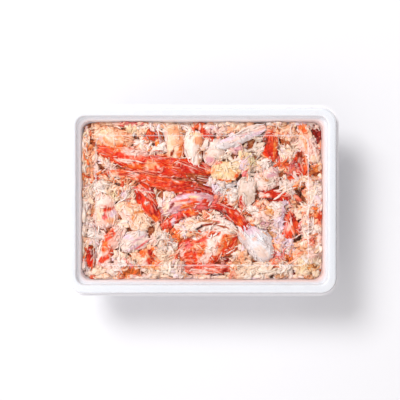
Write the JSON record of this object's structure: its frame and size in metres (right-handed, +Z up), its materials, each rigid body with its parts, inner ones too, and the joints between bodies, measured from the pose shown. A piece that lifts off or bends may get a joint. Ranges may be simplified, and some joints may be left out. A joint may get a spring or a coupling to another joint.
{
  "type": "tub of king crab meat",
  "caption": "Shut rectangular white tub of flaked king crab meat: cream and red flakes, shreds and large leg and claw pieces under a clear press-on lid",
  "frame": {"origin": "under the middle of the tub's base, on the surface it stands on", "axes": "+X along the box, +Y across it, +Z up through the lid"},
  "size_m": [0.205, 0.143, 0.049],
  "materials": {
    "white_tub": "moulded white polypropylene, satin, slightly translucent",
    "clear_lid": "thin clear thermoformed plastic sheet, glossy, colourless",
    "cream_meat": "moist flaked crab meat, cream to peach, fibrous, small gaps between the shreds",
    "red_meat": "cooked crab leg skin, vivid orange red, wet, with paler strands along it",
    "orange_meat": "cooked crab meat with orange outer skin over white fibres, wet",
    "white_meat": "white crab meat with a faint lilac or cream cast, smooth and moist"
  },
  "bodies": {
    "root": {"tub": "white_tub", "lid": "clear_lid", "flaked_meat": "cream_meat", "leg_long": "red_meat", "leg_lower": "red_meat", "claw_curled": "orange_meat", "white_lump": "white_meat", "red_crescent": "red_meat", "lilac_piece": "white_meat", "lilac_under": "orange_meat", "red_chunk": "red_meat", "pale_bulb": "cream_meat", "knuckle_left": "white_meat", "knuckle_mid": "white_meat", "knuckle_right": "white_meat", "milky_strand": "white_meat", "cream_flake": "cream_meat", "grey_flake": "white_meat", "pale_lump": "cream_meat", "red_post": "red_meat", "red_streak": "red_meat", "red_flank": "red_meat", "orange_post": "orange_meat", "corner_leg": "cream_meat", "bottom_streak": "red_meat", "orange_chunk": "orange_meat", "lilac_lump": "white_meat", "cream_petal": "cream_meat", "orange_crescent": "orange_meat", "pink_lump": "white_meat", "corner_red": "red_meat"}
  },
  "joints": []
}
